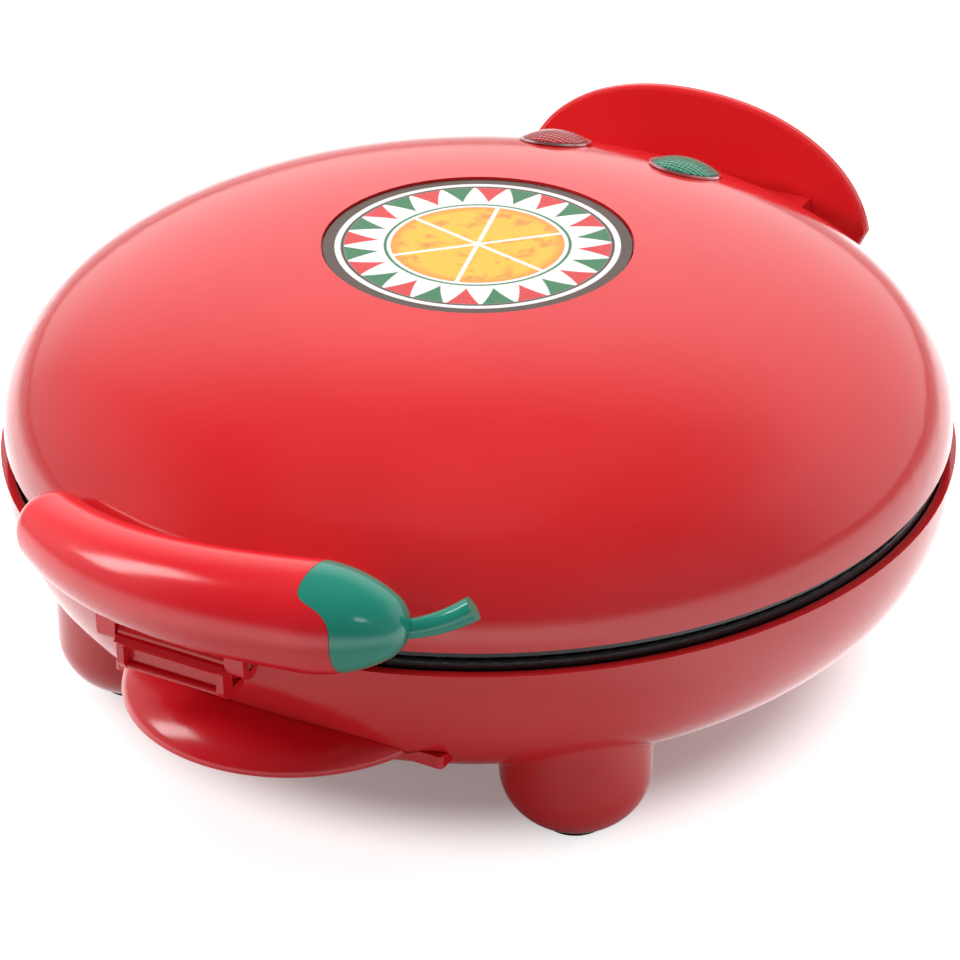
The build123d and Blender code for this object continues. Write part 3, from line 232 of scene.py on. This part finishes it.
def label_finish():
    """Printed label: brown border, white field, bunting and a flatbread cut in wedges."""
    brown, white = linear(66, 33, 11), linear(243, 242, 240)
    green, red = linear(0, 112, 60), linear(214, 12, 18)
    gold, toast = linear(255, 184, 10), linear(206, 120, 20)
    # radii and lengths are shares of the label's radius; a flag's half width and blurred edge are shares
    # of the arc that one flag takes, and the wedges' offset is a share of one wedge
    print_edge = 0.004
    border_start = 0.92
    flags, flags_top, flag_length, flag_half_width, flag_edge = 24, 0.86, 0.22, 0.46, 0.02
    cord_width = 0.022
    ring_start, ring_end = 0.585, 0.605
    bread_limit, toasted_width = 0.56, 0.09
    wedges, wedge_offset, cut_start, cut_end = 6, 0.25, 0.010, 0.017

    made = Finish("badge_print")
    x, y, _ = made.axes(bowl_axis)
    radius = made.math("SQRT", made.math("ADD", made.math("MULTIPLY", x, x), made.math("MULTIPLY", y, y)))
    share = made.math("DIVIDE", radius, badge_radius)
    turn = made.math("DIVIDE", made.math("ARCTAN2", y, x), 2 * math.pi)

    def inside(limit):
        """One within the circle, none outside it."""
        return made.ramp(share, limit - print_edge, limit + print_edge, 1.0, 0.0)

    def band(low, high):
        """One between the two circles."""
        return made.math("MULTIPLY", inside(high), made.flip(inside(low)))

    def off_middle(place):
        """How far a place is from the middle of its flag or wedge, 0 to 0.5."""
        return made.math("ABSOLUTE", made.math("SUBTRACT", made.math("FRACT", place), 0.5))

    # bunting: triangles that hang inwards from a circle, green and red by turns, and their cord
    flag_place = made.math("ADD", made.math("MULTIPLY", turn, flags), flags)
    hang = made.math("DIVIDE", made.math("SUBTRACT", flags_top, share), flag_length)
    half_width = made.math("MULTIPLY", made.flip(hang), flag_half_width)
    triangle = made.ramp(made.math("SUBTRACT", half_width, off_middle(flag_place)), -flag_edge, flag_edge)
    flag = made.math("MULTIPLY", triangle, band(flags_top - flag_length, flags_top))
    odd = made.math("GREATER_THAN", made.math("FRACT", made.math("MULTIPLY", flag_place, 0.5)), 0.5)
    colour = made.mix(flag, white, made.mix(odd, green, red))
    colour = made.mix(band(flags_top, flags_top + cord_width), colour, brown)

    # flatbread, toasted in spots and at its edge, cut in wedges
    spots = made.ramp(made.noise(190, 4, 0.6), 0.52, 0.66, 0.0, 0.75)
    rim_toast = made.ramp(share, bread_limit - toasted_width, bread_limit, 0.0, 0.7)
    bread = made.mix(made.math("MAXIMUM", spots, rim_toast), gold, toast)
    wedge_place = made.math("ADD", made.math("MULTIPLY", turn, wedges), wedges + wedge_offset)
    wedge_arc = made.math("MULTIPLY", share, 2 * math.pi / wedges)
    from_cut = made.math("MULTIPLY", made.math("SUBTRACT", 0.5, off_middle(wedge_place)), wedge_arc)
    bread_mask = made.math("MULTIPLY", inside(bread_limit), made.ramp(from_cut, cut_start, cut_end))
    colour = made.mix(bread_mask, colour, bread)

    # green ring round the bread, brown border of the label, faint wear
    colour = made.mix(band(ring_start, ring_end), colour, green)
    colour = made.mix(made.flip(inside(border_start)), colour, brown)
    wear = made.ramp(made.noise(700), 0.2, 0.9, 0.0, 0.06)
    made.put(
        Base_Color=made.mix(wear, colour, brown),
        Roughness=made.ramp(made.noise(240), 0.3, 0.7, 0.22, 0.30),
        Normal=made.bump(made.noise(1200, 2), 0.03, 0.2 * MM),
    )
    return made.material


finishes = {
    "red_shell": moulded_plastic("red_shell_plastic", linear(226, 42, 46), linear(220, 37, 42), 0.10),
    "red_handle": moulded_plastic("red_handle_plastic", linear(225, 32, 42), linear(218, 27, 37), 0.17),
    "red_grip": moulded_plastic("red_grip_plastic", linear(222, 25, 38), linear(214, 21, 33), 0.17),
    "green_handle": moulded_plastic("green_cap_plastic", linear(34, 140, 120), linear(28, 130, 111), 0.12),
    "black_trim": moulded_plastic("black_trim_plastic", linear(22, 22, 26), linear(16, 16, 19), 0.26, 0.05),
    "lamp_glass": moulded_plastic("natural_nylon", linear(224, 220, 205), linear(212, 207, 190), 0.34, 0.05),
    "element_sheath": dull_metal("element_sheath", linear(122, 118, 112), linear(88, 84, 82), 0.36),
    "reflector_steel": dull_metal(
        "reflector_steel", linear(196, 198, 200), linear(178, 180, 184), 0.24, (1, 18, 18), 90, 0.05
    ),
    "screw_steel": dull_metal("screw_steel", linear(190, 188, 182), linear(160, 158, 152), 0.25),
    "lens_rim": dull_metal(
        "lens_rim_chrome", linear(232, 232, 235), linear(214, 214, 219), 0.08, scale=400, bump=0.02
    ),
    "nonstick_plate": nonstick_finish(),
    "badge": label_finish(),
    "red_lens": lens_finish("red_lens_prisms", linear(205, 38, 44), linear(150, 18, 26), linear(255, 60, 40)),
    "green_lens": lens_finish(
        "green_lens_prisms", linear(38, 150, 118), linear(16, 92, 72), linear(60, 255, 160)
    ),
    "pad_rubber": rubber_finish(),
}
for row in frame["record"]["subparts"]:
    mesh = nodes[row["node"]].data
    mesh.materials.clear()
    mesh.materials.append(finishes[row["material_slot"]])


# ---- camera -----------------------------------------------------------------
def facing(place, aim):
    """Matrix of a camera or lamp that stands at place and looks at aim."""
    direction = Vector(aim) - Vector(place)
    return Matrix.Translation(Vector(place)) @ direction.to_track_quat("-Z", "Y").to_matrix().to_4x4()


# fitted to the photograph
camera_place = Vector((478.6, -867.5, 617.0)) * MM + Vector((0, bowl_axis.y, 0))
camera_target = Vector((0, 0, 68)) * MM + Vector((0, bowl_axis.y, 0))
camera_roll = math.radians(-0.23)
focal_length_mm, sensor_width_mm = 129.93, 36
shift_right, shift_up = 0.0016, -0.0384
nearest_seen, farthest_seen = 0.02, 50

camera = bpy.data.objects.new("camera", bpy.data.cameras.new("camera"))
scene.collection.objects.link(camera)
scene.camera = camera
camera.data.lens = focal_length_mm
camera.data.sensor_width = sensor_width_mm
camera.data.shift_x = shift_right
camera.data.shift_y = shift_up
camera.data.clip_start = nearest_seen
camera.data.clip_end = farthest_seen
camera.matrix_world = facing(camera_place, camera_target) @ Matrix.Rotation(camera_roll, 4, "Z")


# ---- studio -----------------------------------------------------------------
def studio_world():
    """White to the camera; to all else dim, with bright panels behind and at the sides, none overhead."""
    ambient, behind_level, left_level, right_level = 0.12, 1.25, 0.7, 0.30
    # where each panel starts and is full, as a share of the direction's length
    behind_start, behind_full = -0.10, 0.70
    side_start, side_full = 0.50, 1.0
    fade_start, fade_end = 0.58, 1.0

    world = bpy.data.worlds.new("studio")
    scene.world = world
    world.use_nodes = True
    made = Nodes(world.node_tree, "Generated")
    right, back, up = made.split(made.coords)
    low = made.ramp(up, fade_start, fade_end, 1.0, 0.0)
    behind = made.ramp(back, behind_start, behind_full, 0.0, behind_level)
    on_left = made.ramp(made.math("MULTIPLY", right, -1.0), side_start, side_full, 0.0, left_level)
    on_right = made.ramp(right, side_start, side_full, 0.0, right_level)
    panels = made.math("MAXIMUM", behind, made.math("MAXIMUM", on_left, on_right))
    level = made.math("ADD", made.math("MULTIPLY", panels, low), ambient)
    seen = made.add("ShaderNodeLightPath").outputs["Is Camera Ray"]
    unseen_level = made.math("MULTIPLY", level, made.flip(seen))
    background = made.tree.nodes["Background"]
    background.inputs["Color"].default_value = WHITE
    made.link(made.math("ADD", unseen_level, seen), background.inputs["Strength"])


def aimed_lamp(name, data, place, aim):
    """Lamp that stands at place and looks at aim."""
    lamp = bpy.data.objects.new(name, data)
    scene.collection.objects.link(lamp)
    lamp.matrix_world = facing(place, aim)
    return lamp


def softbox(name, place, aim, width, height, radiance, glossy=True, only=()):
    """Area light whose face looks as bright as radiance says; only names the CAD nodes that it lights."""
    data = bpy.data.lights.new(name, "AREA")
    data.shape = "RECTANGLE"
    data.size = width
    data.size_y = height
    data.energy = radiance * math.pi * width * height
    lamp = aimed_lamp(name, data, place, aim)
    lamp.visible_camera = False
    lamp.visible_glossy = glossy
    if only:
        receivers = bpy.data.collections.new(name + "_receivers")
        for node in only:
            receivers.objects.link(nodes[node])
        lamp.light_linking.receiver_collection = receivers


studio_world()
aim_height = 80 * MM
centre = Vector((0, bowl_axis.y, aim_height))
softbox("key", (-0.30, -0.05, 2.4), centre, width=1.9, height=1.7, radiance=4.2, glossy=False)
softbox("left_fill", (-1.7, -1.2, 1.0), centre, width=1.0, height=1.0, radiance=0.9, glossy=False)

# small boxes for the highlights on the handle, its cap and the grip
handle_low, handle_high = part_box("chili_handle")
handle_middle = (handle_low + handle_high) / 2
handle_box_place = handle_middle + Vector((-0.88, -0.33, 0.64))
handle_nodes = ("chili_handle", "chili_cap", "front_grip")
softbox(
    "handle_box", handle_box_place, handle_middle, width=0.30, height=0.62, radiance=9.0, only=handle_nodes
)
cap_low, cap_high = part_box("chili_cap")
cap_middle = (cap_low + cap_high) / 2
cap_box_place = cap_middle + Vector((0.57, -0.58, 0.58))
softbox("cap_box", cap_box_place, cap_middle, width=0.14, height=0.14, radiance=4.5, only=("chili_cap",))

# narrow lamp that lifts the upright stand behind the dome
lid_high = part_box("lid_shell")[1]
stand_inset, stand_height = 5 * MM, 116 * MM
stand_aim = Vector((0, lid_high.y - stand_inset, stand_height))
stand_place = stand_aim + Vector((-0.25, -1.35, 0.75))
stand_watts, stand_cone, cone_blend, lamp_radius = 62.0, math.radians(7.5), 0.7, 0.12
stand_lamp = aimed_lamp("stand_lamp", bpy.data.lights.new("stand_lamp", "SPOT"), stand_place, stand_aim)
stand_lamp.data.energy = stand_watts
stand_lamp.data.spot_size = stand_cone
stand_lamp.data.spot_blend = cone_blend
stand_lamp.data.shadow_soft_size = lamp_radius
stand_lamp.visible_glossy = False


# ---- floor ------------------------------------------------------------------
def paper_finish():
    """Bright matte paper, white to the camera away from the object; its soft shadow is partly real and partly
    painted, and reflections see a painted pool of light.
    """
    light_tone, lighter_tone = (0.75, 0.81, 0.81, 1), (0.77, 0.83, 0.83, 1)
    # painted shadow: within these radii of the bowl's axis, the glow that the camera sees is dimmed
    painted_shadow_radius, lit_radius, painted_shadow_glow, lit_glow = 0.104, 0.138, 0.20, 0.85
    # painted shade: middle of the dark patch that reflections see on the floor in front
    painted_shade_middle = (0.06, bowl_axis.y - 0.19, 0)
    painted_shade_start, painted_shade_end, painted_reflection_level = 0.08, 0.22, 1.1
    fade_start, fade_end = 0.45, 1.0

    paper = Finish("paper")
    fibres = paper.ramp(paper.noise(3), 0.3, 0.7)
    from_axis = paper.distance((0, bowl_axis.y, 0))
    # painted shadow: the camera's glow is dim round the axis, a darker disc under the object, and white
    # beyond
    glow_with_painted_shadow = paper.ramp(from_axis, painted_shadow_radius, lit_radius, painted_shadow_glow, lit_glow)
    # painted reflection: a glow that only reflections see, a bright pool all round, with painted shade on the
    # floor in front and none far away
    painted_pool_reach = paper.ramp(from_axis, fade_start, fade_end, 1.0, 0.0)
    painted_pool_off_front = paper.ramp(paper.distance(painted_shade_middle), painted_shade_start, painted_shade_end, 0.0, painted_reflection_level)
    painted_reflection_glow = paper.math("MULTIPLY", painted_pool_off_front, painted_pool_reach)
    rays = paper.add("ShaderNodeLightPath").outputs
    seen = paper.math("MULTIPLY", rays["Is Camera Ray"], glow_with_painted_shadow)
    painted_reflection = paper.math("MULTIPLY", rays["Is Glossy Ray"], painted_reflection_glow)
    paper.put(
        Base_Color=paper.mix(fibres, light_tone, lighter_tone),
        Roughness=0.9,
        Specular_IOR_Level=0.0,
        Emission_Color=WHITE,
        # glow with the painted shadow for the camera, plus the painted reflection pool
        Emission_Strength=paper.math("ADD", seen, painted_reflection),
    )

    # seen from below, the paper lets the underside show
    facing_down = paper.add("ShaderNodeNewGeometry").outputs["Backfacing"]
    sides = paper.add("ShaderNodeMixShader")
    paper.link(facing_down, sides.inputs["Fac"])
    paper.link(paper.shader.outputs["BSDF"], sides.inputs[1])
    paper.link(paper.add("ShaderNodeBsdfTransparent").outputs["BSDF"], sides.inputs[2])
    paper.link(sides.outputs["Shader"], paper.output.inputs["Surface"])
    return paper.material


floor_mesh = bpy.data.meshes.new("floor")
reach = 12.0
floor_corners = [(-reach, -reach, 0), (reach, -reach, 0), (reach, reach, 0), (-reach, reach, 0)]
floor_mesh.from_pydata(floor_corners, [], [(0, 1, 2, 3)])
floor = bpy.data.objects.new("floor", floor_mesh)
scene.collection.objects.link(floor)
floor_mesh.materials.append(paper_finish())

scene.view_settings.view_transform = "Standard"
